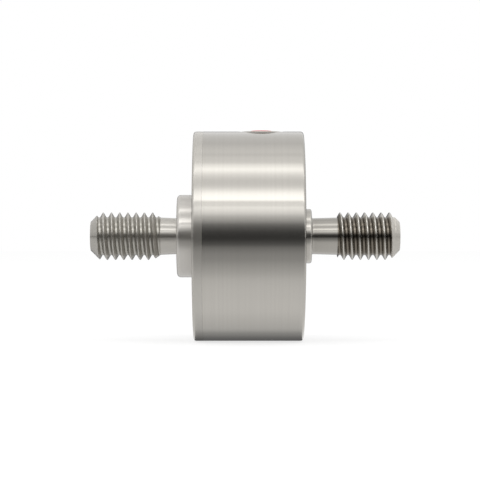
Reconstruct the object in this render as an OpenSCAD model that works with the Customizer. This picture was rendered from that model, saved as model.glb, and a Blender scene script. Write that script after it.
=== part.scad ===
// Miniature stud-ended load cell, in millimetres.
// The load axis lies along X. The origin is the centre of the base boss's seating face, x grows
// toward the load stud, and z points up at the cable port.

/* [Barrel] */
// Diameter of the barrel
barrel_d = 25.4; // [23:0.1:34]
// Width of the barrel across both faces, cap rim included
barrel_w = 13.3; // [12.4:0.1:20]
// Width of the cap's rim, from the face to the welded seam
rim_w = 1.2; // [0.8:0.1:1.8]
// Radius on the barrel's two outer edges
edge_r = 0.5; // [0.1:0.05:0.7]
// Chamfer on each side of the welded seam
seam_break = 0.03; // [0.02:0.01:0.12]
// Wall of the barrel outside the cap's spigot and the board
ring_wall = 2.5; // [1.5:0.1:3.2]
// Width of the ledge in the bore that the board sits on
ledge_w = 0.8; // [0.5:0.1:1.2]

/* [Bosses] */
// Diameter of the base boss
base_boss_d = 10; // [8:0.1:14]
// Height of the base boss above the barrel's face
base_boss_h = 2; // [1:0.1:4]
// Radius on the base boss's edge
base_boss_r = 0.45; // [0.1:0.05:0.8]
// Diameter of the load boss
load_boss_d = 6.6; // [6.2:0.1:10]
// Height of the load boss above the barrel's face
load_boss_h = 1; // [0.5:0.1:3]
// Radius on the load boss's edge
load_boss_r = 0.25; // [0.05:0.05:0.4]

/* [Studs] */
// Major diameter of the metric thread, which is drawn as its plain envelope
thread_d = 6; // [5.4:0.1:6.6]
// Length of the base stud from its seat
base_stud_len = 10.5; // [7:0.1:20]
// Length of the load stud from its seat
load_stud_len = 10.7; // [8:0.1:20]
// Length of the undercut neck on the base stud
base_neck_len = 2; // [1:0.1:3]
// Length of the undercut neck on the load stud
load_neck_len = 3.1; // [1:0.1:4]
// Diameter of the necks where they leave the seats
neck_d = 4.36; // [3.8:0.02:4.4]
// How far a neck's radius grows up to the thread
neck_rise = 0.08; // [0:0.01:0.1]
// Fillet between a neck and its seat
neck_fillet = 0.2; // [0.05:0.05:0.4]
// Angle of the shoulder where the base stud's thread begins, from the radius
base_shoulder_angle = 55; // [10:5:60]
// Angle of the shoulder where the load stud's thread begins, from the radius
load_shoulder_angle = 10; // [10:5:60]
// Chamfer on the studs' ends
end_chamfer = 1.25; // [0.3:0.05:1.4]

/* [Flexure] */
// Thickness of the membrane between the hub and the ring
membrane_t = 1.4; // [0.8:0.1:2]
// Diameter of the hub inside the barrel
hub_d = 6; // [5:0.1:7]
// Fillet between the membrane and the hub and ring
membrane_fillet = 0.4; // [0.1:0.05:0.5]
// Depth of the gauge chamber, from the membrane to the board's ledge
chamber_depth = 5.9; // [5.4:0.1:6.4]

/* [Base cap] */
// Length of the spigot that centres the cap in the bore
spigot_len = 1; // [0.6:0.1:1.4]
// Radial clearance of the spigot in the bore
spigot_clearance = 0.02; // [0.01:0.01:0.05]
// Height of the overload stop on the cap's inner face
stop_h = 1.6; // [0.6:0.1:2]
// Gap between the overload stop and the hub
overload_gap = 0.1; // [0.05:0.01:0.2]

/* [Cable port] */
// Distance of the port's centre from the board's ledge
port_offset = 2.2; // [2.1:0.1:3.5]
// Diameter of the spot face that the bushing's collar sits on
spot_d = 5.8; // [5.7:0.1:7]
// Diameter of the bushing's collar
collar_d = 5.6; // [4.6:0.1:5.7]
// How far the collar stands above the barrel's top line
collar_proud = 0.02; // [0:0.01:0.2]
// Chamfer on the collar's rim
collar_break = 0.24; // [0.05:0.01:0.25]
// Diameter of the bushing's shank
shank_d = 4; // [3.4:0.1:4.2]
// Radial clearance of the shank in the port
shank_clearance = 0.02; // [0.01:0.01:0.05]
// Outside diameter of the seal
seal_d = 2.8; // [2.2:0.1:3]
// Bore of the seal, for the cable
seal_bore_d = 1.8; // [1:0.1:1.9]
// How far the seal's round lip stands above the collar
lip_h = 0.08; // [0.02:0.01:0.3]

/* [Bridge] */
// Thickness of the circuit board
board_t = 0.8; // [0.4:0.1:1.2]
// Gap between the board's edge and the bore
board_clearance = 0.15; // [0.05:0.05:0.3]
// Gap between the board's hole and the hub
board_hub_gap = 0.8; // [0.4:0.1:1.5]
// Length of a strain gauge's carrier film, along the radius
film_l = 2.6; // [2.2:0.1:2.8]
// Width of a strain gauge's carrier film
film_w = 2; // [1.6:0.1:2.4]
// Thickness of the carrier film
film_t = 0.1; // [0.05:0.01:0.15]
// Length of the gauge's measuring grid
grid_l = 1.2; // [0.8:0.1:1.3]
// Number of legs in the measuring grid
grid_legs = 6; // [4:2:8]
// Diameter of a gauge lead
lead_d = 0.16; // [0.1:0.02:0.24]
// Diameter of a solder pad on the board
pad_d = 0.8; // [0.6:0.1:0.9]
// Length of a chip resistor
chip_l = 1.6; // [1:0.1:2]
// Width of a chip resistor
chip_w = 0.8; // [0.5:0.1:1.2]
// Height of a chip resistor
chip_h = 0.45; // [0.3:0.05:0.6]

/* [Hidden] */
$fn = 96;

// Radii of the turned parts
barrel_r = barrel_d / 2;
bore_r = barrel_r - ring_wall;
chamber_r = bore_r - ledge_w;
hub_r = hub_d / 2;
thread_r = thread_d / 2;

// Places along the load axis
rim_x = base_boss_h;
seam_x = rim_x + rim_w;
cap_inner_x = seam_x + spigot_len;
stop_x = cap_inner_x + stop_h;
hub_x = stop_x + overload_gap;
barrel_end_x = rim_x + barrel_w;
load_seat_x = barrel_end_x + load_boss_h;
membrane_x = barrel_end_x - membrane_t;
ledge_x = membrane_x - chamber_depth;
board_x = ledge_x - board_t;
port_x = ledge_x + port_offset;

// Cable port, along z
spot_sink = 0.04;
spot_z = sqrt(barrel_r * barrel_r - spot_d * spot_d / 4) - spot_sink;
collar_z = barrel_r + collar_proud;
shank_z = chamber_r + 0.1;

// Gauges and board
film_margin = 0.1;
grid_margin = 0.2;
foil_t = 0.04;
tab_w = 0.6;
tab_spread = film_w / 4;
gauge_first_r = hub_r + membrane_fillet + film_margin;
gauge_last_r = chamber_r - membrane_fillet - film_margin;
solder_h = 0.25;
lead_hole_d = 0.4;
pad_t = 0.04;
wire_pads = 4;
wire_pad_step = 14;
chip_r = chamber_r - 1.9;
chip_cap_l = 0.3;
chip_cap_t = 0.02;

// Turn of each gauge about the load axis, and whether it lies by the hub or by the ring
gauge_turns = [0, 180, 90, 270];
gauge_by_hub = [true, true, false, false];

steel_colour = "#c6c3be";
seal_colour = "#c8303c";
board_colour = "#1f6a3c";
film_colour = "#c98f3f";
lead_colour = "#b8623a";
chip_colour = "#24262a";

// Points of an arc about c in a profile, from angle a0 to a1
function arc(c, r, a0, a1, steps = 6) =
    [for (i = [0 : steps]) c + r * [cos(a0 + (a1 - a0) * i / steps), sin(a0 + (a1 - a0) * i / steps)]];

// Mirrors a profile's points along the axis
function flipped(points) = [for (p = points) [p[0], -p[1]]];

// Radius and height of a stud's outline above its seat at y = 0: fillet, neck, shoulder and chamfer
function stud_points(neck_len, len, shoulder_angle) =
    let (
        neck_r = neck_d / 2,
        neck_end_r = neck_r + neck_rise,
        shoulder_w = (thread_r - neck_end_r) * tan(shoulder_angle)
    )
    concat(
        arc([neck_r + neck_fillet, neck_fillet], neck_fillet, 270, 180),
        [[neck_end_r, neck_len], [thread_r, neck_len + shoulder_w]],
        [[thread_r, len - end_chamfer], [thread_r - end_chamfer, len], [0, len]]
    );

// Moves a profile's points along the axis
function shifted(points, y) = [for (p = points) [p[0], p[1] + y]];

// Revolves an outline of [radius, x] points about the load axis
module turned(points) {
    rotate([0, 90, 0]) rotate_extrude() polygon(points);
}

// Carries its children from the top of the barrel to a turn about the load axis
module turned_to(angle) {
    rotate([angle, 0, 0]) children();
}

// Outline of the hub, membrane and ring, then the load boss and stud
function element_points() = concat(
    [[0, hub_x], [hub_r - membrane_fillet, hub_x], [hub_r, hub_x + membrane_fillet]],
    arc([hub_r + membrane_fillet, membrane_x - membrane_fillet], membrane_fillet, 180, 90),
    arc([chamber_r - membrane_fillet, membrane_x - membrane_fillet], membrane_fillet, 90, 0),
    [[chamber_r, ledge_x], [bore_r, ledge_x], [bore_r, seam_x]],
    [[barrel_r - seam_break, seam_x], [barrel_r, seam_x + seam_break]],
    arc([barrel_r - edge_r, barrel_end_x - edge_r], edge_r, 0, 90),
    [[load_boss_d / 2, barrel_end_x]],
    arc([load_boss_d / 2 - load_boss_r, load_seat_x - load_boss_r], load_boss_r, 0, 90),
    shifted(stud_points(load_neck_len, load_stud_len, load_shoulder_angle), load_seat_x)
);

module sensing_element() {
    color(steel_colour) difference() {
        turned(element_points());
        translate([port_x, 0, 0]) cylinder(d = shank_d + 2 * shank_clearance, h = collar_z + 1);
        translate([port_x, 0, spot_z]) cylinder(d = spot_d, h = collar_z);
    }
}

// Outline of the stud and boss, then the rim, the spigot and the overload stop
function cap_points() = concat(
    [[0, stop_x], [hub_r, stop_x], [hub_r, cap_inner_x]],
    [[bore_r - spigot_clearance, cap_inner_x], [bore_r - spigot_clearance, seam_x]],
    [[barrel_r - seam_break, seam_x], [barrel_r, seam_x - seam_break]],
    arc([barrel_r - edge_r, rim_x + edge_r], edge_r, 0, -90),
    [[base_boss_d / 2, rim_x]],
    arc([base_boss_d / 2 - base_boss_r, base_boss_r], base_boss_r, 0, -90),
    flipped(stud_points(base_neck_len, base_stud_len, base_shoulder_angle))
);

module base_cap() {
    color(steel_colour) turned(cap_points());
}

// Collar with a broken edge on a shank, bored for the seal
module cable_bushing() {
    bushing = [
        [seal_d / 2, shank_z],
        [shank_d / 2, shank_z],
        [shank_d / 2, spot_z],
        [collar_d / 2, spot_z],
        [collar_d / 2, collar_z - collar_break],
        [collar_d / 2 - collar_break, collar_z],
        [seal_d / 2, collar_z]
    ];
    color(steel_colour) translate([port_x, 0, 0]) rotate_extrude() polygon(bushing);
}

// Soft tube that fills the bushing and ends in a round lip
module cable_seal() {
    lip_r = (seal_d - seal_bore_d) / 4;
    lip_z = collar_z + lip_h - lip_r;
    seal = concat(
        [[seal_bore_d / 2, shank_z], [seal_d / 2, shank_z]],
        arc([seal_d / 2 - lip_r, lip_z], lip_r, 0, 180)
    );
    color(seal_colour) translate([port_x, 0, 0]) rotate_extrude() polygon(seal);
}

// Distance from the axis of gauge i's two solder tabs
function tab_r(i) = gauge_by_hub[i]
    ? gauge_first_r + film_l - grid_margin - tab_w / 2
    : gauge_last_r - film_l + grid_margin + tab_w / 2;

// Foil gauge on its film: a grid of legs joined in a meander, with two tabs for the leads.
// Drawn with the grid end at z = 0 and the tabs above it, on the membrane at x = 0.
module gauge_blank() {
    leg_step = (2 * tab_spread + tab_w) / (grid_legs - 1);
    leg_w = leg_step / 2;
    foil_x = -film_t - foil_t;
    translate([-film_t, -film_w / 2, 0]) cube([film_t, film_w, film_l]);
    for (leg = [0 : grid_legs - 1]) {
        leg_y = (leg - (grid_legs - 1) / 2) * leg_step;
        translate([foil_x, leg_y - leg_w / 2, grid_margin]) cube([2 * foil_t, leg_w, grid_l]);
        if (leg < grid_legs - 1)
            translate([foil_x, leg_y - leg_w / 2, leg % 2 == 0 ? grid_margin : grid_margin + grid_l - leg_w])
                cube([2 * foil_t, leg_step + leg_w, leg_w]);
    }
    for (side = [-1, 1])
        translate([foil_x, side * tab_spread - tab_w / 2, film_l - grid_margin - tab_w])
            cube([2 * foil_t, tab_w, tab_w]);
    for (side = [-1, 1])
        translate([foil_x, side * (tab_spread + tab_w / 2) - leg_w / 2, grid_margin + grid_l - leg_w])
            cube([2 * foil_t, leg_w, film_l - 2 * grid_margin - grid_l - tab_w / 2]);
}

// Gauge i, bonded to the membrane with its grid by the hub or by the ring
module strain_gauge(i) {
    color(film_colour) turned_to(gauge_turns[i])
        if (gauge_by_hub[i])
            translate([membrane_x, 0, gauge_first_r]) gauge_blank();
        else
            translate([membrane_x, 0, gauge_last_r]) mirror([0, 0, 1]) gauge_blank();
}

// Straight wire from a gauge's tab through the board, with a solder bead at each end
module gauge_lead(i, side) {
    tab_x = membrane_x - film_t - foil_t;
    pad_x = board_x - pad_t;
    color(lead_colour) turned_to(gauge_turns[i]) translate([0, side * tab_spread, tab_r(i)])
        rotate([0, 90, 0]) union() {
            translate([0, 0, pad_x - solder_h]) cylinder(d = lead_d, h = tab_x - pad_x + solder_h);
            translate([0, 0, pad_x - solder_h]) cylinder(r1 = lead_d / 2 + 0.02, r2 = pad_d / 2 - 0.05, h = solder_h);
            translate([0, 0, tab_x - solder_h / 2]) cylinder(r1 = lead_d / 2 + 0.02, r2 = tab_w / 3, h = solder_h / 2);
        }
}

// Tinned ring on the board's outer side, with the hole through it cut later
module pad() {
    translate([board_x - pad_t, 0, 0]) rotate([0, 90, 0]) cylinder(d = pad_d, h = 2 * pad_t);
}

// Rectangular land for one end of a chip
module chip_land(side) {
    translate([board_x - pad_t, side * (chip_l / 2) - chip_cap_l, chip_r - chip_w / 2])
        cube([2 * pad_t, 2 * chip_cap_l, chip_w]);
}

// Ring-shaped circuit board with its lands, drilled for the gauge leads and the cable's wires
module bridge_board() {
    wire_r = chamber_r - pad_d;
    wire_angles = [for (k = [0 : wire_pads - 1]) (k - (wire_pads - 1) / 2) * wire_pad_step];
    color(board_colour) difference() {
        union() {
            turned([
                [hub_r + board_hub_gap, board_x],
                [bore_r - board_clearance, board_x],
                [bore_r - board_clearance, ledge_x],
                [hub_r + board_hub_gap, ledge_x]
            ]);
            for (i = [0 : 3], side = [-1, 1])
                turned_to(gauge_turns[i]) translate([0, side * tab_spread, tab_r(i)]) pad();
            for (angle = wire_angles)
                turned_to(angle) translate([0, 0, wire_r]) pad();
            for (k = [0 : 3], side = [-1, 1])
                turned_to(45 + 90 * k) chip_land(side);
        }
        for (i = [0 : 3], side = [-1, 1])
            turned_to(gauge_turns[i]) translate([board_x - 1, side * tab_spread, tab_r(i)])
                rotate([0, 90, 0]) cylinder(d = lead_hole_d, h = board_t + 2);
        for (angle = wire_angles)
            turned_to(angle) translate([board_x - 1, 0, wire_r])
                rotate([0, 90, 0]) cylinder(d = lead_hole_d, h = board_t + 2);
    }
}

// Chip resistor k of four, soldered across two lands, with a cap on each end
module chip_resistor(k) {
    color(chip_colour) turned_to(45 + 90 * k) translate([board_x - pad_t - chip_h, 0, chip_r]) {
        translate([0, -chip_l / 2 + chip_cap_t, -chip_w / 2 + chip_cap_t])
            cube([chip_h - chip_cap_t, chip_l - 2 * chip_cap_t, chip_w - 2 * chip_cap_t]);
        for (side = [0, 1])
            translate([-chip_cap_t, side * (chip_l - chip_cap_l) - chip_l / 2, -chip_w / 2])
                cube([chip_h + chip_cap_t, chip_cap_l, chip_w]);
    }
}

sensing_element();
base_cap();
cable_bushing();
cable_seal();
bridge_board();
strain_gauge(0);  // strain_gauge_1
strain_gauge(1);  // strain_gauge_2
strain_gauge(2);  // strain_gauge_3
strain_gauge(3);  // strain_gauge_4
gauge_lead(0, -1);  // gauge_lead_1
gauge_lead(0, 1);  // gauge_lead_2
gauge_lead(1, -1);  // gauge_lead_3
gauge_lead(1, 1);  // gauge_lead_4
gauge_lead(2, -1);  // gauge_lead_5
gauge_lead(2, 1);  // gauge_lead_6
gauge_lead(3, -1);  // gauge_lead_7
gauge_lead(3, 1);  // gauge_lead_8
chip_resistor(0);  // zero_balance_resistor
chip_resistor(1);  // zero_temperature_resistor
chip_resistor(2);  // span_resistor_1
chip_resistor(3);  // span_resistor_2
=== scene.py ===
"""Visual model of a miniature load cell with a male stud on each end.

The load axis is X, the base stud points to -X, the load stud to +X, and the cable port faces +Z.
Sizes are in millimetres, as in the part's source, and meshes are put into the scene in metres.
"""

import logging
import math
from collections.abc import Sequence
from dataclasses import dataclass
from enum import Enum

import bmesh
import bpy
import numpy as np
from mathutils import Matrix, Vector


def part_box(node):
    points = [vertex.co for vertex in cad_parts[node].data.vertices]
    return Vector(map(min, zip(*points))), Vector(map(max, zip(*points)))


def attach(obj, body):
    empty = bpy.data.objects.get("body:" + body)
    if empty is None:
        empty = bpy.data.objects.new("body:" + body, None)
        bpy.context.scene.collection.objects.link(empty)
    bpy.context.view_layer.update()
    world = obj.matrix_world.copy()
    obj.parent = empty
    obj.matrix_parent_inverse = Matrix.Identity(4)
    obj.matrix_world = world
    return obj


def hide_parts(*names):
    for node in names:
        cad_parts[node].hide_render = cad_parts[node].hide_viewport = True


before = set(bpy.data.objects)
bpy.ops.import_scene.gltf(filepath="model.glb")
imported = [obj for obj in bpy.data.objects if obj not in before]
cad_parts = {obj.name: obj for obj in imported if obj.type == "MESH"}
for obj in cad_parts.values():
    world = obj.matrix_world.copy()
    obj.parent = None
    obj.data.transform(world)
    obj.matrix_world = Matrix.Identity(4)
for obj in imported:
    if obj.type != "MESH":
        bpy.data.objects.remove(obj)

MM = 0.001
BODY = "root"
LOG = logging.getLogger("load_cell")
FAR = 1000
CONTACT_X = (2.0, 15.3)
LAMPS_FACE_X = 8.0


# Small tools


def linear(hex_colour: str) -> tuple[float, float, float, float]:
    """Turns an sRGB colour into the linear one that shaders take.

    Args:
        hex_colour: Colour such as "#c8303c".

    Returns:
        Red, green and blue from 0 to 1 in linear light, and an alpha of 1.
    """
    srgb = np.array([int(hex_colour[i:i + 2], 16) for i in (1, 3, 5)]) / 255
    light = np.where(srgb <= 0.04045, srgb / 12.92, ((srgb + 0.055) / 1.055) ** 2.4)
    return (*map(float, light), 1.0)


def add_node(tree: bpy.types.NodeTree, kind: str, inputs: dict | None = None,
             **settings: object) -> bpy.types.Node:
    """Adds a node with its settings, values and links.

    Args:
        tree: Node tree that gets the node.
        kind: Blender's name of the node type.
        inputs: Input socket, by name or number, to a value or to the output socket that feeds it.
        settings: The node's own properties by name.

    Returns:
        The new node.
    """
    node = tree.nodes.new(kind)
    for name, value in settings.items():
        setattr(node, name, value)
    for key, value in (inputs or {}).items():
        if isinstance(value, bpy.types.NodeSocket):
            tree.links.new(value, node.inputs[key])
        else:
            node.inputs[key].default_value = value
    return node


def set_ramp(node: bpy.types.Node, stops: Sequence[tuple[float, float]]) -> bpy.types.NodeSocket:
    """Writes grey stops into a colour ramp.

    Args:
        node: Colour ramp node.
        stops: Place from 0 to 1 and the grey value there, in rising order.

    Returns:
        The ramp's colour output.
    """
    elements = node.color_ramp.elements
    while len(elements) < len(stops):
        elements.new(0.5)
    for element, (place, grey) in zip(elements, stops):
        element.position = place
        element.color = (grey, grey, grey, 1.0)
    return node.outputs["Color"]


def new_material(name: str) -> tuple[bpy.types.Material, bpy.types.NodeTree, bpy.types.Node]:
    """Makes an empty node material.

    Args:
        name: Name of the material.

    Returns:
        The material, its node tree and its output node.
    """
    material = bpy.data.materials.new(name)
    material.use_nodes = True
    material.node_tree.nodes.clear()
    output = add_node(material.node_tree, "ShaderNodeOutputMaterial")
    return material, material.node_tree, output


# Outlines


def line(*points: tuple[float, float]) -> np.ndarray:
    """Corner points of an outline, as rows of radius and place along the axis."""
    return np.array(points, float)


def arc(centre: tuple[float, float], radius: float, start: float, end: float, steps: int = 8) -> np.ndarray:
    """Points on a circle in the outline's plane.

    Each is the centre plus the radius times cosine and sine, over an even run of angles.

    Args:
        centre: Radius and axial place of the arc's centre.
        radius: Radius of the arc.
        start: First angle in degrees, 0 outwards and 90 along the axis.
        end: Last angle in degrees.
        steps: Number of chords.

    Returns:
        Rows of radius and axial place.
    """
    angle = np.radians(np.linspace(start, end, steps + 1))
    return np.array(centre) + radius * np.column_stack((np.cos(angle), np.sin(angle)))


def with_rows(outline: np.ndarray, step: float) -> np.ndarray:
    """Adds points along an outline so that its straight runs get even rows.

    The length run so far is the parameter: the corners' own lengths and every multiple of the step are
    kept, apart from multiples that fall close to a corner, and both columns are read off at each length.

    Args:
        outline: Rows of radius and axial place.
        step: Distance between the added rows.

    Returns:
        The outline with the added rows.
    """
    run = np.concatenate(([0.0], np.cumsum(np.hypot(*np.diff(outline, axis=0).T))))
    extra = np.arange(step, run[-1], step)
    extra = extra[np.abs(extra[:, None] - run[None, :]).min(axis=1) > step / 4]
    place = np.sort(np.concatenate((run, extra)))
    return np.column_stack([np.interp(place, run, column) for column in outline.T])


# Surfaces


def turn_rows(outline: np.ndarray, columns: int) -> np.ndarray:
    """Turns an outline about the X axis.

    The surface is a function of the outline's row and the turn t: the point is at the row's axial place,
    and its radius times cosine of t along Y and times sine of t along Z.

    Args:
        outline: Rows of radius and axial place.
        columns: Number of places round the axis.

    Returns:
        Points as an array of row, column and coordinate.
    """
    turn = 2 * np.pi * np.arange(columns) / columns
    radius, place = outline[:, :1], outline[:, 1:]
    return np.stack((place + 0 * turn, radius * np.cos(turn), radius * np.sin(turn)), axis=-1)


def band_faces(index: np.ndarray) -> np.ndarray:
    """Four-sided faces between neighbouring rows of a closed band of numbered vertices."""
    ahead = np.roll(index, -1, axis=1)
    return np.stack((index[:-1], index[1:], ahead[1:], ahead[:-1]), axis=-1).reshape(-1, 4)


@dataclass(frozen=True)
class Thread:
    """Metric thread form, cut into a stud with a right-hand helix about +X."""

    pitch: float = 1.0
    major_r: float = 2.88
    minor_r: float = 2.3
    crest_w: float = 0.1
    crest_top_x: float = 0.0
    round_w: float = 0.02
    half_stations: tuple[float, ...] = (0, 0.04, 0.07, 0.11, 0.18, 0.25, 0.32, 0.385, 0.42, 0.455, 0.5)

    def flank(self, away: np.ndarray) -> np.ndarray:
        """Radius at a distance from the crest's middle: flat crest, 30 degree flank, flat root."""
        drop = (np.abs(away) - self.crest_w / 2) / math.tan(math.radians(30))
        return np.clip(self.major_r - drop, self.minor_r, self.major_r)

    def radius(self, place: np.ndarray, turns: np.ndarray) -> np.ndarray:
        """Radius of the threaded surface.

        The phase is the axial place in pitches less the turn from the top: a crest climbs one pitch a turn.
        The sharp form is averaged over a short window, which rounds its corners.

        Args:
            place: Axial places.
            turns: Turns about +X, in whole turns, 0 at +Y and 0.25 at +Z.

        Returns:
            Radius at each place.
        """
        phase = (place - self.crest_top_x) / self.pitch - (turns - 0.25)
        away = (phase - np.round(phase)) * self.pitch
        w = self.round_w
        return (self.flank(away - w) + 2 * self.flank(away) + self.flank(away + w)) / 4

    def skin(self, first: float, last: float, envelope: np.ndarray,
             columns: int) -> tuple[np.ndarray, np.ndarray]:
        """Threaded surface between two plain rings.

        Rows follow the helix, so that crests and roots lie on rows. Row s is at crest_top_x + pitch (s + turn),
        held between the two ends. The radius is the lower of the thread's and the plain outline's.

        Args:
            first: Axial place of the ring where the thread starts.
            last: Axial place of the ring where it ends.
            envelope: Outline that holds the thread, as rows of radius and axial place in rising place.
            columns: Number of places round the axis.

        Returns:
            Points of row, column and coordinate, and each one's state: -1 on the first ring, 1 on the last,
            0 between.
            There is one pitch of rows more than needed, which the last column's faces reach into.
        """
        half = np.array(self.half_stations)
        stations = np.concatenate((half[:-1], 1 - half[:0:-1]))
        whole = np.arange(math.floor((first - self.crest_top_x) / self.pitch - 0.8),
                          math.ceil((last - self.crest_top_x) / self.pitch + 0.3) + 1)
        row = (whole[:, None] + stations[None, :]).reshape(-1, 1)
        turns = np.arange(columns)[None, :] / columns
        place = self.crest_top_x + self.pitch * (row + turns - 0.25)
        state = np.where(place <= first + 1e-6, -1, np.where(place >= last - 1e-6, 1, 0))
        place = np.clip(place, first, last)
        radius = np.minimum(self.radius(place, turns), np.interp(place, envelope[:, 1], envelope[:, 0]))
        angle = 2 * np.pi * turns
        points = np.stack((place, radius * np.cos(angle), radius * np.sin(angle)), axis=-1)
        return points, state

    @property
    def rows_a_pitch(self) -> int:
        """Number of rows in one pitch."""
        return 2 * len(self.half_stations) - 2


def thread_faces(index: np.ndarray, shift: int) -> list[np.ndarray]:
    """Faces of a threaded skin whose rows climb one pitch in a turn.

    The last column meets the first one a pitch further on. A side that has shrunk to a point leaves a triangle.

    Args:
        index: Vertex number at each row and column.
        shift: Number of rows in one pitch.

    Returns:
        Arrays of four-sided and of three-sided faces.
    """
    ahead = np.column_stack((index[:-shift, 1:], index[shift:, 0]))
    here = index[:-shift]
    a, b, c, d = (side.ravel() for side in (here[:-1], here[1:], ahead[1:], ahead[:-1]))
    open_here, open_ahead = a != b, d != c
    quads = np.stack((a, b, c, d), axis=-1)[open_here & open_ahead]
    left = np.stack((a, b, c), axis=-1)[open_here & ~open_ahead]
    right = np.stack((a, c, d), axis=-1)[~open_here & open_ahead]
    return [quads, left, right]


def make_mesh(name: str, points: np.ndarray, faces: list[np.ndarray], crease_deg: float = 30) -> bpy.types.Object:
    """Puts a surface in millimetres into a mesh object in metres, with its faces outwards.

    Args:
        name: Name of the object.
        points: Rows of x, y and z.
        faces: Arrays of vertex numbers, each of one number of sides.
        crease_deg: Angle between faces past which an edge shows as a crease.

    Returns:
        The object, linked into the scene at the origin.
    """
    corners = np.concatenate([f.ravel() for f in faces])
    sides = np.concatenate([np.full(len(f), f.shape[1]) for f in faces])
    used, corners = np.unique(corners, return_inverse=True)
    mesh = bpy.data.meshes.new(name)
    mesh.vertices.add(len(used))
    mesh.vertices.foreach_set("co", (points[used] * MM).ravel())
    mesh.loops.add(len(corners))
    mesh.loops.foreach_set("vertex_index", corners.ravel())
    mesh.polygons.add(len(sides))
    mesh.polygons.foreach_set("loop_start", np.cumsum(sides) - sides)
    mesh.polygons.foreach_set("loop_total", sides)
    mesh.update(calc_edges=True)
    mesh.validate()
    obj = bpy.data.objects.new(name, mesh)
    bpy.context.scene.collection.objects.link(obj)
    face_out(obj, crease_deg)
    return obj


def face_out(obj: bpy.types.Object, crease_deg: float) -> None:
    """Turns all faces outwards and shades the mesh smooth up to a crease angle.

    Args:
        obj: Mesh object.
        crease_deg: Angle between faces past which an edge shows as a crease.
    """
    work = bmesh.new()
    work.from_mesh(obj.data)
    bmesh.ops.recalc_face_normals(work, faces=work.faces)
    work.to_mesh(obj.data)
    work.free()
    obj.data.shade_smooth()
    obj.data.set_sharp_from_angle(angle=math.radians(crease_deg))


def turned_ring(name: str, outline: np.ndarray, centre_x: float, columns: int) -> bpy.types.Object:
    """Solid of revolution about a line along Z, with a closed outline that stays off the axis.

    Args:
        name: Name of the object.
        outline: Rows of radius and height, the last joined to the first.
        centre_x: Place of the axis along X.
        columns: Number of places round the axis.

    Returns:
        The object.
    """
    rows = turn_rows(outline, columns)
    points = np.stack((rows[..., 1] + centre_x, rows[..., 2], rows[..., 0]), axis=-1).reshape(-1, 3)
    index = np.arange(len(points)).reshape(len(outline), columns)
    return make_mesh(name, points, [band_faces(np.vstack((index, index[:1])))])


def pole_faces(ring: np.ndarray, pole: int) -> np.ndarray:
    """Triangles from each side of a ring to one point on the axis."""
    return np.stack((ring, np.roll(ring, -1), np.full_like(ring, pole)), axis=-1)


@dataclass(frozen=True)
class Stud:
    """Male stud on a seat: plain undercut neck, shoulder, thread and chamfered end.

    Axial places count from the seat towards the stud's end.
    """

    neck_len: float
    length: float
    shoulder_deg: float
    crest_top: float
    blank_r: float = 3.0
    neck_r: float = 2.18
    neck_rise: float = 0.08
    neck_fillet: float = 0.2
    end_chamfer: float = 1.25
    # Share of the end chamfer that the painted shade in the thread's roots leaves out.
    shade_free_share: float = 0.88

    @property
    def thread_end(self) -> float:
        """Place on the end chamfer up to which the thread's roots carry painted shade."""
        return self.length - self.shade_free_share * self.end_chamfer

    def run_out(self, thread: Thread) -> float:
        """Place where the chamfer has cut the thread away down to its root."""
        return self.length - self.end_chamfer + self.blank_r - thread.minor_r

    def outlines(self, thread: Thread) -> tuple[np.ndarray, np.ndarray, np.ndarray]:
        """Outline of the stud in three lengths, cut where the thread starts and runs out.

        Args:
            thread: Thread on the stud.

        Returns:
            The neck, the plain outline that holds the thread, and the end with its point on the axis.
        """
        rise = math.tan(math.radians(self.shoulder_deg))
        neck_end_r = self.neck_r + self.neck_rise
        fillet_r = self.neck_r + self.neck_fillet
        neck = np.vstack((arc((fillet_r, self.neck_fillet), self.neck_fillet, 270, 180),
                          line((neck_end_r, self.neck_len))))
        held = line((thread.minor_r, self.neck_len + (thread.minor_r - neck_end_r) * rise),
                    (self.blank_r, self.neck_len + (self.blank_r - neck_end_r) * rise),
                    (self.blank_r, self.length - self.end_chamfer),
                    (thread.minor_r, self.run_out(thread)))
        end = line((self.blank_r - self.end_chamfer, self.length), (0, self.length))
        return neck, held, end


def studded_solid(name: str, body: np.ndarray, stud: Stud, seat_x: float, about_turn: bool,
                  columns: int = 256, row_step: float = 0.6) -> bpy.types.Object:
    """Turned solid about X that ends in a threaded stud.

    It is worked out with its seat at 0 and its stud towards +X. An about turn round Z then points the stud
    to -X, which leaves the thread right-handed.

    Args:
        name: Name of the object.
        body: Outline from the axis to the seat, as rows of radius and distance from the seat.
        stud: Stud on the seat.
        seat_x: Place of the seat along X.
        about_turn: Whether the stud points to -X.
        columns: Number of places round the axis.
        row_step: Distance between the rows of plain surfaces.

    Returns:
        The object.
    """
    thread = Thread(crest_top_x=stud.crest_top)
    neck, held, end = stud.outlines(thread)
    before = with_rows(np.vstack((body, neck)), row_step)
    after = with_rows(end, row_step)
    rows = turn_rows(np.vstack((before, held[:1], held[-1:], after)), columns)
    ring = np.arange(rows[..., 0].size).reshape(-1, columns)
    first, last = len(before), len(before) + 1
    screw, state = thread.skin(held[0, 1], held[-1, 1], held, columns)
    index = np.arange(state.size).reshape(state.shape) + ring.size
    index = np.where(state < 0, ring[first], np.where(state > 0, ring[last], index))
    faces = [band_faces(ring[1:first + 1]), band_faces(ring[last:-1]),
             *thread_faces(index, thread.rows_a_pitch),
             pole_faces(ring[1], ring[0, 0]), pole_faces(ring[-2], ring[-1, 0])]
    points = np.vstack((rows.reshape(-1, 3), screw.reshape(-1, 3)))
    if about_turn:
        points = points * (-1, -1, 1)
    return make_mesh(name, points + (seat_x, 0, 0), faces)


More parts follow.
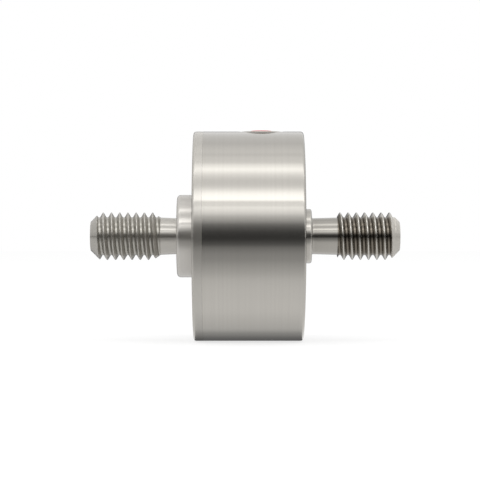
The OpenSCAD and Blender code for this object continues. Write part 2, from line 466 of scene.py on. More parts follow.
def cut_away(obj: bpy.types.Object, cutter: bpy.types.Object) -> None:
    """Cuts one mesh object's solid out of another's and removes the cutter.

    Args:
        obj: Object that is cut.
        cutter: Closed mesh object.
    """
    cut = obj.modifiers.new("cut", "BOOLEAN")
    cut.operation = "DIFFERENCE"
    cut.solver = "EXACT"
    cut.object = cutter
    shape = bpy.data.meshes.new_from_object(obj.evaluated_get(bpy.context.evaluated_depsgraph_get()))
    obj.modifiers.clear()
    old = obj.data
    obj.data = shape
    shape.name = old.name
    bpy.data.meshes.remove(old)
    bpy.data.objects.remove(cutter)


# Finishes


class Slot(Enum):
    """The record's material slots."""

    STEEL = "turned_steel"
    SEAL = "silicone_seal"


class TurnAxis(Enum):
    """Line that a piece was turned about."""

    LOAD = "x"
    PORT = "z"


@dataclass(frozen=True)
class Band:
    """Stretch along the turning axis that has a steel tone of its own; in the thread's roots the tone is painted
    shade.
    """

    start_x: float
    end_x: float
    colour_hex: str

    def mask(self, tree: bpy.types.NodeTree, x: bpy.types.NodeSocket) -> bpy.types.NodeSocket:
        """Tells whether a point lies on the stretch.

        Args:
            tree: The material's node tree.
            x: Place along the axis.

        Returns:
            1 on the stretch, 0 off it.
        """
        middle, half = (self.start_x + self.end_x) / 2, abs(self.end_x - self.start_x) / 2
        return add_node(tree, "ShaderNodeMath", {0: x, 1: middle * MM, 2: half * MM},
                        operation="COMPARE").outputs[0]


@dataclass(frozen=True)
class TurnedSteel:
    """Hardened stainless steel, finely turned: rings round the axis that spread reflections along it."""

    name: str
    turned: TurnAxis = TurnAxis.LOAD
    port_x: float = 0.0
    bands: tuple[Band, ...] = ()
    # Painted shade: a darker steel tone laid into the thread's roots.
    painted_root_shade: Band | None = None
    haze: float = 0.0
    hazy: Band | None = None
    haze_roughness: float = 0.9
    colour_hex: str = "#adaaa4"
    light_hex: str = "#b0ada7"
    roughness: float = 0.19
    roughness_spread: float = 0.004
    anisotropy: float = 1.0
    ring_w: float = 0.3
    drift: float = 0.2

    def build(self) -> bpy.types.Material:
        """Makes the material, which reads Object coordinates.

        Returns:
            The material.
        """
        material, tree, output = new_material(self.name)
        x, flat, tangent = self.about_axis(tree)
        radius = add_node(tree, "ShaderNodeVectorMath", {0: flat}, operation="LENGTH").outputs["Value"]
        rings = self.ring_noise(tree, x, radius, flat)
        tone = add_node(tree, "ShaderNodeMapRange", {"Value": rings, "From Min": 0.3, "From Max": 0.7}).outputs[0]
        colour = add_node(tree, "ShaderNodeMix", {0: tone, 6: linear(self.colour_hex), 7: linear(self.light_hex)},
                          data_type="RGBA").outputs[2]
        tones_and_painted_shade = [(band.mask(tree, x), band.colour_hex) for band in self.bands]
        # Painted shade deepens the colour towards the thread's roots.
        if self.painted_root_shade:
            tones_and_painted_shade.append((self.painted_root_shade_mask(tree, x, radius), self.painted_root_shade.colour_hex))
        for mask, tint in tones_and_painted_shade:
            colour = add_node(tree, "ShaderNodeMix", {0: mask, 6: colour, 7: linear(tint)},
                              data_type="RGBA").outputs[2]
        low, high = self.roughness - self.roughness_spread, self.roughness + self.roughness_spread
        gloss = add_node(tree, "ShaderNodeMapRange", {"Value": rings, "From Min": 0.3, "From Max": 0.7,
                         "To Min": low, "To Max": high}).outputs[0]
        bump = add_node(tree, "ShaderNodeBump", {"Height": rings, "Strength": 0.03, "Distance": 0.001 * MM})
        surface = add_node(tree, "ShaderNodeBsdfPrincipled", {
            "Base Color": colour, "Metallic": 1.0, "Roughness": gloss, "Anisotropic": self.anisotropy,
            "Anisotropic Rotation": 0.25, "Tangent": tangent, "Normal": bump.outputs[0]}).outputs[0]
        if self.haze:
            matt = add_node(tree, "ShaderNodeBsdfPrincipled", {
                "Base Color": colour, "Metallic": 1.0, "Roughness": self.haze_roughness,
                "Normal": bump.outputs[0]}).outputs[0]
            share = self.haze
            if self.hazy:
                on_band = self.hazy.mask(tree, x)
                share = add_node(tree, "ShaderNodeMath", {0: on_band, 1: share}, operation="MULTIPLY").outputs[0]
            surface = add_node(tree, "ShaderNodeMixShader", {0: share, 1: surface, 2: matt}).outputs[0]
        tree.links.new(surface, output.inputs["Surface"])
        return material

    def about_axis(self, tree: bpy.types.NodeTree
                   ) -> tuple[bpy.types.NodeSocket, bpy.types.NodeSocket, bpy.types.NodeSocket]:
        """Takes a point's coordinates about the turning axis.

        Args:
            tree: The material's node tree.

        Returns:
            Place along the axis, the vector from the axis in a plane of Y and Z, and the direction round the axis.
        """
        place = add_node(tree, "ShaderNodeTexCoord").outputs["Object"]
        x, y, z = add_node(tree, "ShaderNodeSeparateXYZ", {0: place}).outputs
        if self.turned is TurnAxis.LOAD:
            along, side, up, round_x, round_y = x, y, z, "Y", "Z"
        else:
            off = add_node(tree, "ShaderNodeMath", {0: x, 1: self.port_x * MM}, operation="SUBTRACT").outputs[0]
            along, side, up, round_x, round_y = z, off, y, "X", "Y"
        flat = add_node(tree, "ShaderNodeCombineXYZ", {"Y": side, "Z": up}).outputs[0]
        back = add_node(tree, "ShaderNodeMath", {0: up, 1: -1.0}, operation="MULTIPLY").outputs[0]
        tangent = add_node(tree, "ShaderNodeCombineXYZ", {round_x: back, round_y: side}).outputs[0]
        return along, flat, tangent

    def ring_noise(self, tree: bpy.types.NodeTree, x: bpy.types.NodeSocket, radius: bpy.types.NodeSocket,
                   flat: bpy.types.NodeSocket) -> bpy.types.NodeSocket:
        """Turning rings: noise of axial place and radius that drifts slowly round the piece.

        Args:
            tree: The material's node tree.
            x: Place along the axis.
            radius: Distance from the axis.
            flat: Vector from the axis to the point.

        Returns:
            Noise from 0 to 1.
        """
        outward = add_node(tree, "ShaderNodeVectorMath", {0: flat}, operation="NORMALIZE").outputs[0]
        drift = add_node(tree, "ShaderNodeVectorMath", {0: outward, "Scale": self.drift}, operation="SCALE").outputs[0]
        _, drift_y, drift_z = add_node(tree, "ShaderNodeSeparateXYZ", {0: drift}).outputs
        scale = 1 / (self.ring_w * MM)
        along, outwards = (add_node(tree, "ShaderNodeMath", {0: s, 1: scale}, operation="MULTIPLY").outputs[0]
                           for s in (x, radius))
        place = add_node(tree, "ShaderNodeCombineXYZ", {"X": along, "Y": outwards, "Z": drift_y}).outputs[0]
        return add_node(tree, "ShaderNodeTexNoise", {"Vector": place, "W": drift_z, "Scale": 1.0, "Detail": 3.0,
                        "Roughness": 0.6}, noise_dimensions="4D").outputs[0]

    def painted_root_shade_mask(self, tree: bpy.types.NodeTree, x: bpy.types.NodeSocket,
                    radius: bpy.types.NodeSocket) -> bpy.types.NodeSocket:
        """Tells how much painted shade a point gets, which grows with its depth in the thread's groove.

        Args:
            tree: The material's node tree.
            x: Place along the axis.
            radius: Distance from the axis.

        Returns:
            1 in the root of the thread, 0 on its crest and off the thread.
        """
        thread = Thread()
        depth = add_node(tree, "ShaderNodeMapRange", {
            "Value": radius, "From Min": (thread.major_r - 0.1) * MM, "From Max": (thread.minor_r + 0.1) * MM})
        on_thread = self.painted_root_shade.mask(tree, x)
        return add_node(tree, "ShaderNodeMath", {0: depth.outputs[0], 1: on_thread}, operation="MULTIPLY").outputs[0]


@dataclass(frozen=True)
class Speckled:
    """Plain non-metal or metal with a fine mottle, such as silicone rubber or ceramic."""

    name: str
    colour_hex: str
    dark_hex: str
    roughness: float
    grain_w: float = 0.15
    metallic: float = 0.0
    bump: float = 0.1

    def build(self) -> bpy.types.Material:
        """Makes the material, which reads Object coordinates.

        Returns:
            The material.
        """
        material, tree, output = new_material(self.name)
        shader = self.shader(tree, add_node(tree, "ShaderNodeTexCoord").outputs["Object"])
        tree.links.new(shader, output.inputs["Surface"])
        return material

    def shader(self, tree: bpy.types.NodeTree, place: bpy.types.NodeSocket) -> bpy.types.NodeSocket:
        """Adds the finish's shader to a tree.

        Args:
            tree: Node tree that gets the shader.
            place: Object coordinates.

        Returns:
            The shader's output.
        """
        grain = add_node(tree, "ShaderNodeTexNoise", {"Vector": place, "Scale": 1 / (self.grain_w * MM),
                         "Detail": 4.0, "Roughness": 0.6}).outputs[0]
        tone = add_node(tree, "ShaderNodeMapRange", {"Value": grain, "From Min": 0.3, "From Max": 0.7}).outputs[0]
        colour = add_node(tree, "ShaderNodeMix", {0: tone, 6: linear(self.dark_hex), 7: linear(self.colour_hex)},
                          data_type="RGBA").outputs[2]
        gloss = add_node(tree, "ShaderNodeMapRange", {"Value": grain, "From Min": 0.3, "From Max": 0.7,
                         "To Min": self.roughness + 0.06, "To Max": self.roughness - 0.06}).outputs[0]
        bump = add_node(tree, "ShaderNodeBump", {"Height": grain, "Strength": self.bump, "Distance": 0.01 * MM})
        return add_node(tree, "ShaderNodeBsdfPrincipled", {
            "Base Color": colour, "Metallic": self.metallic, "Roughness": gloss,
            "Normal": bump.outputs[0]}).outputs[0]


@dataclass(frozen=True)
class Layered:
    """Two finishes on one piece: the trim covers what lies past two limits along one direction.

    The direction is +X turned towards the piece's own long side, and the limits are distances along it.
    """

    name: str
    base: Speckled
    trim: Speckled
    below: float
    above: float
    turn_deg: float | None = None

    def build(self) -> bpy.types.Material:
        """Makes the material, which reads Object coordinates.

        Returns:
            The material.
        """
        material, tree, output = new_material(self.name)
        place = add_node(tree, "ShaderNodeTexCoord").outputs["Object"]
        if self.turn_deg is None:
            direction = (1.0, 0.0, 0.0)
        else:
            turn = math.radians(self.turn_deg)
            direction = (0.0, math.cos(turn), math.sin(turn))
        along = add_node(tree, "ShaderNodeVectorMath", {0: place, 1: direction}, operation="DOT_PRODUCT")
        distance = along.outputs["Value"]
        low = add_node(tree, "ShaderNodeMath", {0: distance, 1: self.below * MM}, operation="LESS_THAN").outputs[0]
        high = add_node(tree, "ShaderNodeMath", {0: distance, 1: self.above * MM}, operation="GREATER_THAN").outputs[0]
        either = add_node(tree, "ShaderNodeMath", {0: low, 1: high}, operation="MAXIMUM").outputs[0]
        mixed = add_node(tree, "ShaderNodeMixShader", {0: either, 1: self.base.shader(tree, place),
                         2: self.trim.shader(tree, place)})
        tree.links.new(mixed.outputs[0], output.inputs["Surface"])
        return material


RED_SILICONE = Speckled("red_silicone", "#c62f3a", "#b02531", 0.42)
SOLDER_MASK = Speckled("green_solder_mask", "#1f6a3c", "#1a5a33", 0.35)
TIN = Speckled("tin_solder", "#c9c9c4", "#b4b4ae", 0.3, metallic=1.0)
POLYIMIDE = Speckled("polyimide_film", "#c98f3f", "#b67d31", 0.3)
CONSTANTAN = Speckled("constantan_foil", "#b99a78", "#a98a68", 0.35, metallic=1.0)
COPPER = Speckled("copper_wire", "#c77b53", "#b3683f", 0.3, metallic=1.0)
CHIP_GLAZE = Speckled("chip_glaze", "#26282c", "#1c1e21", 0.3)


# Pieces


def finish_piece(obj: bpy.types.Object, material: bpy.types.Material, slot: Slot, *nodes: str) -> None:
    """Dresses a piece, puts it in place of its CAD nodes and lets it ride.

    Args:
        obj: The piece.
        material: Its material.
        slot: The record's material slot; not used.
        nodes: CAD nodes that the piece stands for.
    """
    obj.data.materials.clear()
    obj.data.materials.append(material)
    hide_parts(*nodes)
    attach(obj, BODY)
    LOG.info("%s: %d faces", obj.name, len(obj.data.polygons))


@dataclass
class SensingElement:
    """Barrel ring, membrane, hub, load boss and load stud, turned from one bar."""

    barrel_r: float
    seam_x: float
    stud_end_x: float
    boss_h: float = 1.0
    boss_r: float = 3.3
    boss_edge_r: float = 0.25
    edge_r: float = 0.35
    seam_break: float = 0.01
    bore_r: float = 10.2
    chamber_r: float = 9.4
    ledge_x: float = 8.0
    membrane_x: float = 13.9
    hub_x: float = 5.9
    hub_r: float = 3.0
    inner_fillet: float = 0.4
    port_d: float = 4.04
    spot_d: float = 5.8
    spot_sink: float = 0.04
    stud: Stud = Stud(neck_len=3.1, length=10.7, shoulder_deg=10, crest_top=0.46)

    @classmethod
    def from_frame(cls) -> "SensingElement":
        """Takes the outer sizes from the CAD node."""
        low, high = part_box("sensing_element")
        return cls(barrel_r=-low.z / MM, seam_x=low.x / MM, stud_end_x=high.x / MM)

    @property
    def seat_x(self) -> float:
        """Place of the load seat along X."""
        return self.stud_end_x - self.stud.length

    @property
    def port_x(self) -> float:
        """Place of the cable port along X, taken from the bushing in it."""
        low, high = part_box("cable_bushing")
        return (low.x + high.x) / 2 / MM

    @property
    def spot_z(self) -> float:
        """Height of the spot face round the port."""
        return math.sqrt(self.barrel_r ** 2 - self.spot_d ** 2 / 4) - self.spot_sink

    def outline(self) -> np.ndarray:
        """Outline from the hub's free end round the chamber, the barrel and the boss to the load seat.

        Returns:
            Rows of radius and place along X.
        """
        end_x, r, f = self.seat_x - self.boss_h, self.barrel_r, self.inner_fillet
        wall_x = self.membrane_x - f
        return np.vstack((
            line((0, self.hub_x)),
            arc((self.hub_r - f, self.hub_x + f), f, -90, 0),
            arc((self.hub_r + f, wall_x), f, 180, 90),
            arc((self.chamber_r - f, wall_x), f, 90, 0),
            line((self.chamber_r, self.ledge_x), (self.bore_r, self.ledge_x), (self.bore_r, self.seam_x),
                 (r - self.seam_break, self.seam_x), (r, self.seam_x + self.seam_break)),
            arc((r - self.edge_r, end_x - self.edge_r), self.edge_r, 0, 90),
            line((self.boss_r, end_x)),
            arc((self.boss_r - self.boss_edge_r, self.seat_x - self.boss_edge_r), self.boss_edge_r, 0, 90)))

    def build(self) -> bpy.types.Object:
        """Builds the piece and dresses it.

        Returns:
            The piece.
        """
        outline = self.outline() - (0, self.seat_x)
        obj = studded_solid("sensing_element_turned", outline, self.stud, self.seat_x, about_turn=False)
        top = self.barrel_r + 1
        cutter = line((0, 0), (self.port_d / 2, 0), (self.port_d / 2, self.spot_z),
                      (self.spot_d / 2, self.spot_z), (self.spot_d / 2, top), (0, top))
        cut_away(obj, upright_solid("port_cutter", cutter, self.port_x))
        face_out(obj, 30)
        neck_end_x, thread_end_x = self.seat_x + self.stud.neck_len, self.seat_x + self.stud.thread_end
        tip = Band(thread_end_x, self.stud_end_x, "#d8d5cf")
        bands = (Band(self.seat_x, neck_end_x, "#9b9892"), Band(neck_end_x, thread_end_x, "#c0bdb7"), tip)
        # Painted shade: the load thread's roots are given the dark tone #6e685f.
        steel = TurnedSteel("turned_steel_barrel", bands=bands, painted_root_shade=Band(neck_end_x, thread_end_x, "#6e685f"),
                            haze=0.85, hazy=tip)
        finish_piece(obj, steel.build(), Slot.STEEL, "sensing_element")
        return obj


@dataclass
class BaseCap:
    """Rim, spigot, overload stop, base boss and base stud, turned from one bar and welded to the barrel."""

    rim_r: float
    stud_end_x: float
    stop_x: float
    seam_x: float
    boss_h: float = 2.0
    boss_r: float = 5.0
    boss_edge_r: float = 0.45
    edge_r: float = 0.35
    seam_break: float = 0.01
    spigot_r: float = 10.18
    spigot_len: float = 1.0
    stop_r: float = 3.0
    stud: Stud = Stud(neck_len=2.0, length=10.5, shoulder_deg=55, crest_top=0.0)

    @classmethod
    def from_frame(cls, seam_x: float) -> "BaseCap":
        """Takes the outer sizes from the CAD node, and the seam's place from the barrel."""
        low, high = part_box("base_cap")
        return cls(rim_r=high.z / MM, stud_end_x=low.x / MM, stop_x=high.x / MM, seam_x=seam_x)

    @property
    def seat_x(self) -> float:
        """Place of the base seat along X."""
        return self.stud_end_x + self.stud.length

    def outline(self) -> np.ndarray:
        """Outline from the overload stop round the rim and the boss to the base seat, counted towards -X.

        Returns:
            Rows of radius and distance from the seat, which fall below 0 inside the barrel.
        """
        seam, stop, r = self.seat_x - self.seam_x, self.seat_x - self.stop_x, self.rim_r
        return np.vstack((
            line((0, stop), (self.stop_r, stop), (self.stop_r, seam - self.spigot_len),
                 (self.spigot_r, seam - self.spigot_len), (self.spigot_r, seam),
                 (r - self.seam_break, seam), (r, seam + self.seam_break)),
            arc((r - self.edge_r, -self.boss_h - self.edge_r), self.edge_r, 0, 90),
            line((self.boss_r, -self.boss_h)),
            arc((self.boss_r - self.boss_edge_r, -self.boss_edge_r), self.boss_edge_r, 0, 90)))

    def build(self) -> bpy.types.Object:
        """Builds the piece and dresses it.

        Returns:
            The piece.
        """
        obj = studded_solid("base_cap_turned", self.outline(), self.stud, self.seat_x, about_turn=True)
        neck_end_x, thread_end_x = self.seat_x - self.stud.neck_len, self.seat_x - self.stud.thread_end
        bands = (Band(neck_end_x, self.seat_x, "#c0bdb7"), Band(self.stud_end_x, thread_end_x, "#b4b1ab"),
                 Band(self.seat_x, self.seat_x + self.boss_h, "#cbc8c3"))
        # Painted shade: the base thread's roots are given the tone #b4b1aa.
        steel = TurnedSteel("turned_steel_cap", bands=bands, painted_root_shade=Band(thread_end_x, neck_end_x, "#b4b1aa"),
                            haze=0.36, colour_hex="#c1beb8", light_hex="#c3c0ba")
        finish_piece(obj, steel.build(), Slot.STEEL, "base_cap")
        return obj


@dataclass
class CableOutlet:
    """Steel bushing in the cable port, and the silicone seal in it."""

    centre_x: float
    shank_z: float
    collar_z: float
    lip_z: float
    collar_r: float
    spot_z: float
    shank_r: float = 2.0
    collar_break: float = 0.24
    collar_fall: float = 0.065
    seal_r: float = 1.4
    bore_r: float = 0.9

    @classmethod
    def from_frame(cls, spot_z: float) -> "CableOutlet":
        """Takes the outer sizes from the CAD nodes."""
        low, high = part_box("cable_bushing")
        return cls(centre_x=(low.x + high.x) / 2 / MM, shank_z=low.z / MM, collar_z=high.z / MM,
                   lip_z=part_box("cable_seal")[1].z / MM, collar_r=(high.x - low.x) / 2 / MM, spot_z=spot_z)

    def build(self) -> None:
        """Builds the bushing and the seal and dresses them."""
        bushing = line((self.seal_r, self.shank_z), (self.shank_r, self.shank_z), (self.shank_r, self.spot_z),
                       (self.collar_r, self.spot_z), (self.collar_r, self.collar_z - self.collar_break),
                       (self.collar_r - self.collar_break, self.collar_z - self.collar_fall),
                       (self.seal_r, self.collar_z))
        obj = turned_ring("cable_bushing_turned", bushing, self.centre_x, 96)
        steel = TurnedSteel("turned_steel_bushing", turned=TurnAxis.PORT, port_x=self.centre_x)
        finish_piece(obj, steel.build(), Slot.STEEL, "cable_bushing")
        lip_r = (self.seal_r - self.bore_r) / 2
        seal = np.vstack((line((self.bore_r, self.shank_z), (self.seal_r, self.shank_z)),
                          arc((self.seal_r - lip_r, self.lip_z - lip_r), lip_r, 0, 180, 12)))
        obj = turned_ring("cable_seal_moulded", seal, self.centre_x, 96)
        finish_piece(obj, RED_SILICONE.build(), Slot.SEAL, "cable_seal")


@dataclass
class BridgeParts:
    """Gauges, leads, board and chips inside the chamber, which stay as CAD nodes and get their finishes."""

    gauges: int = 4
    leads: int = 8
    pad_t: float = 0.04
    foil_t: float = 0.04
    solder_h: float = 0.25
    chip_cap_l: float = 0.3
    chips: tuple[str, ...] = ("zero_balance_resistor", "zero_temperature_resistor", "span_resistor_1",
                              "span_resistor_2")

    def dress(self) -> None:
        """Gives each node its material."""
        pad_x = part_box("bridge_board")[0].x / MM
        board = Layered("circuit_board", SOLDER_MASK, TIN, pad_x + self.pad_t / 2, FAR)
        self.give("bridge_board", board.build())
        foil_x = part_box("strain_gauge_1")[0].x / MM
        gauge = Layered("gauge_on_film", POLYIMIDE, CONSTANTAN, foil_x + self.foil_t / 2, FAR).build()
        for number in range(1, self.gauges + 1):
            self.give(f"strain_gauge_{number}", gauge)
        low, high = (corner.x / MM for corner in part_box("gauge_lead_1"))
        wire = Layered("lead_wire_soldered", COPPER, TIN, low + self.solder_h, high - self.solder_h / 2).build()
        for number in range(1, self.leads + 1):
            self.give(f"gauge_lead_{number}", wire)
        for name in self.chips:
            self.give(name, self.chip_finish(name))

    def chip_finish(self, name: str) -> bpy.types.Material:
        """Glazed body with tinned ends, its long side square to the radius that the chip sits on.

        Args:
            name: CAD node of the chip.

        Returns:
            The material.
        """
        low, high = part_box(name)
        middle = (low + high) / 2
        turn = math.degrees(math.atan2(middle.z, middle.y)) + 90
        half = (high.y - low.y + high.z - low.z) / MM / 2 / math.sqrt(2) / 1.5
        return Layered(f"{name}_body", CHIP_GLAZE, TIN, self.chip_cap_l - half, half - self.chip_cap_l, turn).build()

    def give(self, name: str, material: bpy.types.Material) -> None:
        """Puts a material on all of a CAD node's slots.

        Args:
            name: The node's name.
            material: The material.
        """
        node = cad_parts[name]
        for slot in node.material_slots:
            slot.material = material
        LOG.info("%s: dressed with %s", name, material.name)


def upright_solid(name: str, outline: np.ndarray, centre_x: float, columns: int = 128) -> bpy.types.Object:
    """Solid of revolution about a line along Z whose outline starts and ends on that line.

    Args:
        name: Name of the object.
        outline: Rows of radius and height, the first and last at radius 0.
        centre_x: Place of the axis along X.
        columns: Number of places round the axis.

    Returns:
        The object.
    """
    rows = turn_rows(outline, columns)
    points = np.stack((rows[..., 1] + centre_x, rows[..., 2], rows[..., 0]), axis=-1).reshape(-1, 3)
    ring = np.arange(len(points)).reshape(len(outline), columns)
    return make_mesh(name, points, [band_faces(ring[1:-1]), pole_faces(ring[1], ring[0, 0]),
                                    pole_faces(ring[-2], ring[-1, 0])])


# Studio


@dataclass(frozen=True)
class SoftBox:
    """Long soft box over the object, whose brightness changes with the height above the front horizon.

    Its tones are the light that it adds to the tent's white, at elevations in rising order.
    """

    name: str
    tones: tuple[tuple[float, float], ...]
    distance: float = 0.8
    length: float = 1.2

    def build(self, centre: Vector) -> None:
        """Adds the lamp, turned to a point.

        The lamp is flat, so an elevation lies on it at the tangent of its angle from the lamp's middle.

        Args:
            centre: Point that the lamp faces.
        """
        low, high = self.tones[0][0], self.tones[-1][0]
        middle, half = math.radians((low + high) / 2), math.radians((high - low) / 2)
        height = 2 * self.distance * math.tan(half)
        peak = max(tone for _, tone in self.tones)
        light = bpy.data.lights.new(self.name, "AREA")
        light.shape = "RECTANGLE"
        light.size, light.size_y = self.length, height
        light.energy = peak * math.pi * self.length * height
        light.use_nodes = True
        tree = light.node_tree
        across = add_node(tree, "ShaderNodeNewGeometry").outputs["Parametric"]
        v = add_node(tree, "ShaderNodeSeparateXYZ", {0: across}).outputs[1]
        stops = [(0.5 + math.tan(math.radians(deg) - middle) / math.tan(half) / 2, tone / peak)
                 for deg, tone in self.tones]
        tone = set_ramp(add_node(tree, "ShaderNodeValToRGB", {0: v}), stops)
        tree.links.new(tone, tree.nodes["Emission"].inputs["Strength"])
        obj = bpy.data.objects.new(self.name, light)
        obj.location = centre + self.distance * Vector((0, -math.cos(middle), math.sin(middle)))
        obj.rotation_euler = (math.pi / 2 - middle, 0, 0)
        obj.visible_camera = False
        bpy.context.scene.collection.objects.link(obj)


@dataclass(frozen=True)
class Photograph:
    """Where the object stands in the photograph, in its pixels, and how far off the camera was."""

    image_px: float = 480.0
    px_a_mm: float = 8.225
    seat_px: float = 177.3
    axis_px: float = 236.2
    distance: float = 250.0

    def camera(self) -> None:
        """Adds the camera, level and square to the load axis."""
        data = bpy.data.cameras.new("photo_camera")
        data.sensor_width = 36.0
        data.lens = data.sensor_width * self.px_a_mm * self.distance / self.image_px
        data.clip_start, data.clip_end = 0.01, 10.0
        obj = bpy.data.objects.new("photo_camera", data)
        middle = self.image_px / 2
        obj.location = (MM * (middle - self.seat_px) / self.px_a_mm, -MM * self.distance,
                        -MM * (middle - self.axis_px) / self.px_a_mm)
        obj.rotation_euler = (math.pi / 2, 0, 0)
        bpy.context.scene.collection.objects.link(obj)
        bpy.context.scene.camera = obj


@dataclass(frozen=True)
class Studio:
    """White table in a light tent with dark cards in front of and behind the object."""

    floor_z: float
    shade_x: tuple[float, float]
    floor_half: float = 2000.0
    card_y: float = 350.0
    card_half: float = 1300.0
    floor_glow: float = 0.72
    pool_strength: float = 1.114
    soft_boxes: tuple[SoftBox, ...] = (
        SoftBox("soft_box_front", (
            (22, 0.15), (24, 0.38), (27, 0.68), (30, 0.88), (31.2, 1.08), (33.2, 0.46), (34.4, 0.74), (36.6, 0.4),
            (37.6, 0.46), (38.4, 0.9), (39, 1.72), (41.2, 1.7), (45, 1.5), (47.5, 1.36), (50, 1.02), (52.3, 0.72),
            (54.5, 0.48), (57, 0.35), (60, 0.28))),
        SoftBox("soft_box_top", (
            (60, 0.28), (63, 0.28), (66, 0.39), (70, 0.62), (73, 0.92), (75.5, 1.24), (78, 1.4), (80, 1.12),
            (84, 0.88), (86.5, 0.46), (90, 0.36), (95, 0.34), (99.5, 0.16), (104, 0.26), (108, 0.22), (120, 0.03))),
    )
    table_tones: tuple[tuple[float, float], ...] = (
        (0, 1.0), (9, 1.0), (14.7, 0.95), (18, 0.885), (22, 0.71), (27, 0.59), (32.5, 0.48), (42, 0.435),
        (53.5, 0.35), (67, 0.275), (81, 0.16), (104, 0.13), (180, 0.07))
    shade_tones: tuple[tuple[float, float], ...] = (
        (0, 0.05), (2.2, 0.15), (3, 0.24), (4.2, 0.44), (4.9, 0.64), (5.4, 0.74), (6.9, 0.85), (9, 0.97), (10.5, 1.0))
    card_tones: tuple[tuple[float, float], ...] = (
        (0, 0.07), (4, 0.09), (8, 0.16), (10, 0.22), (12.5, 0.31), (15, 0.55), (18, 0.78), (21, 1.0))

    def build(self, centre: Vector) -> None:
        """Adds the world, the lamps, the table and the cards.

        Args:
            centre: Middle of the object.
        """
        scene = bpy.context.scene
        scene.view_settings.view_transform = "Standard"
        scene.world = bpy.data.worlds.new("light_tent")
        scene.world.use_nodes = True
        scene.world.node_tree.nodes["Background"].inputs["Color"].default_value = (1.0, 1.0, 1.0, 1.0)
        for box in self.soft_boxes:
            box.build(centre)
        self.table()
        for side, name in ((-1, "front_card"), (1, "back_card")):
            self.card(side, name)

    def sheet(self, name: str, corners: list[tuple[float, float, float]], material: bpy.types.Material
              ) -> bpy.types.Object:
        """Adds a flat four-sided sheet that isn't part of the object.

        Args:
            name: Name of the sheet.
            corners: Its corners in millimetres.
            material: Its material.

        Returns:
            The sheet.
        """
        mesh = bpy.data.meshes.new(name)
        mesh.from_pydata([Vector(c) * MM for c in corners], [], [(0, 1, 2, 3)])
        mesh.materials.append(material)
        obj = bpy.data.objects.new(name, mesh)
        bpy.context.scene.collection.objects.link(obj)
        return obj

    def tone_by(self, tree: bpy.types.NodeTree, value: bpy.types.NodeSocket,
                tones: tuple[tuple[float, float], ...], whole: float) -> bpy.types.NodeSocket:
        """Reads a tone off a list by a value, with more room for small values: the square root is the ramp's place.

        Args:
            tree: Node tree.
            value: Value that the tone depends on, from 0.
            tones: Values with their tones, in rising order.
            whole: Size of one unit of the list's values in the socket's unit.

        Returns:
            The tone.
        """
        last = tones[-1][0]
        share = add_node(tree, "ShaderNodeMath", {0: value, 1: last * whole}, operation="DIVIDE").outputs[0]
        root = add_node(tree, "ShaderNodeMath", {0: share, 1: 0.5}, operation="POWER", use_clamp=True).outputs[0]
        ramp = add_node(tree, "ShaderNodeValToRGB", {0: root})
        return set_ramp(ramp, [(math.sqrt(v / last), tone) for v, tone in tones])

    def table(self) -> None:
        """Adds the white table. Camera rays and see-through rays find it white with the object's faint shadow.

        Shiny surfaces see it bright round the object and darker towards the cards, with the contact shade under
        the barrel.
        """
        material, tree, output = new_material("white_table")
        place = add_node(tree, "ShaderNodeNewGeometry").outputs["Position"]
        x, y, _ = add_node(tree, "ShaderNodeSeparateXYZ", {0: place}).outputs
        away = add_node(tree, "ShaderNodeMath", {0: y}, operation="ABSOLUTE").outputs[0]
        pool = self.tone_by(tree, away, self.table_tones, MM)
        shade = self.tone_by(tree, away, self.shade_tones, MM)
        middle, half = (self.shade_x[0] + self.shade_x[1]) / 2, (self.shade_x[1] - self.shade_x[0]) / 2
        under = add_node(tree, "ShaderNodeMath", {0: x, 1: middle * MM, 2: half * MM}, operation="COMPARE").outputs[0]
        contact = add_node(tree, "ShaderNodeMix", {0: under, 6: (1.0, 1.0, 1.0, 1.0), 7: shade},
                           data_type="RGBA").outputs[2]
        seen = add_node(tree, "ShaderNodeMix", {0: 1.0, 6: pool, 7: contact}, data_type="RGBA",
                        blend_type="MULTIPLY").outputs[2]
        rays = add_node(tree, "ShaderNodeLightPath").outputs
        direct = add_node(tree, "ShaderNodeMath", {0: rays["Is Camera Ray"], 1: rays["Is Transmission Ray"]},
                          operation="MAXIMUM").outputs[0]
        glow = add_node(tree, "ShaderNodeMath", {0: direct, 1: self.floor_glow}, operation="MULTIPLY").outputs[0]
        paper = add_node(tree, "ShaderNodeBsdfDiffuse", {"Color": (0.95, 0.95, 0.95, 1.0)}).outputs[0]
        white = add_node(tree, "ShaderNodeEmission").outputs[0]
        plain = add_node(tree, "ShaderNodeMixShader", {0: glow, 1: paper, 2: white}).outputs[0]
        mirrored = add_node(tree, "ShaderNodeEmission", {"Color": seen, "Strength": self.pool_strength}).outputs[0]
        whole = add_node(tree, "ShaderNodeMixShader", {0: rays["Is Glossy Ray"], 1: plain, 2: mirrored}).outputs[0]
        tree.links.new(whole, output.inputs["Surface"])
        h, z = self.floor_half, self.floor_z
        self.sheet("table", [(-h, -h, z), (h, -h, z), (h, h, z), (-h, h, z)], material)

    def card(self, side: int, name: str) -> None:
        """Adds a dark card that only shiny surfaces see, which clears to the tent's white at its top edge.

        Args:
            side: -1 in front of the object, 1 behind it.
            name: Name of the card.
        """
        material, tree, output = new_material(name)
        place = add_node(tree, "ShaderNodeNewGeometry").outputs["Position"]
        z = add_node(tree, "ShaderNodeSeparateXYZ", {0: place}).outputs[2]
        heights = tuple((self.card_y * math.tan(math.radians(deg)), tone) for deg, tone in self.card_tones)
        above = add_node(tree, "ShaderNodeMath", {0: z, 1: 0.0}, operation="MAXIMUM").outputs[0]
        tone = self.tone_by(tree, above, heights, MM)
        glow = add_node(tree, "ShaderNodeEmission", {"Color": tone}).outputs[0]
        tree.links.new(glow, output.inputs["Surface"])
        top, w, y = heights[-1][0], self.card_half, side * self.card_y
        obj = self.sheet(name, [(-w, y, self.floor_z), (w, y, self.floor_z), (w, y, top), (-w, y, top)], material)
        obj.visible_camera = obj.visible_diffuse = obj.visible_shadow = obj.visible_transmission = False


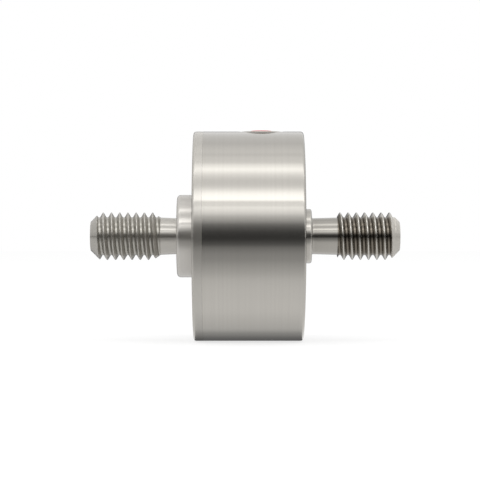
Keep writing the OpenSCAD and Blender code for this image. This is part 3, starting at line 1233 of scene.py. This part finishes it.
def main() -> None:
    """Builds the object and the studio in order, and reports each piece."""
    logging.basicConfig(level=logging.INFO, format="%(name)s: %(message)s")
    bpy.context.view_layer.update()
    element = SensingElement.from_frame()
    element.build()
    BaseCap.from_frame(element.seam_x).build()
    CableOutlet.from_frame(element.spot_z).build()
    BridgeParts().dress()
    Photograph().camera()
    Studio(floor_z=-element.barrel_r, shade_x=CONTACT_X).build(Vector((LAMPS_FACE_X * MM, 0, 0)))


if __name__ == "__main__":
    main()
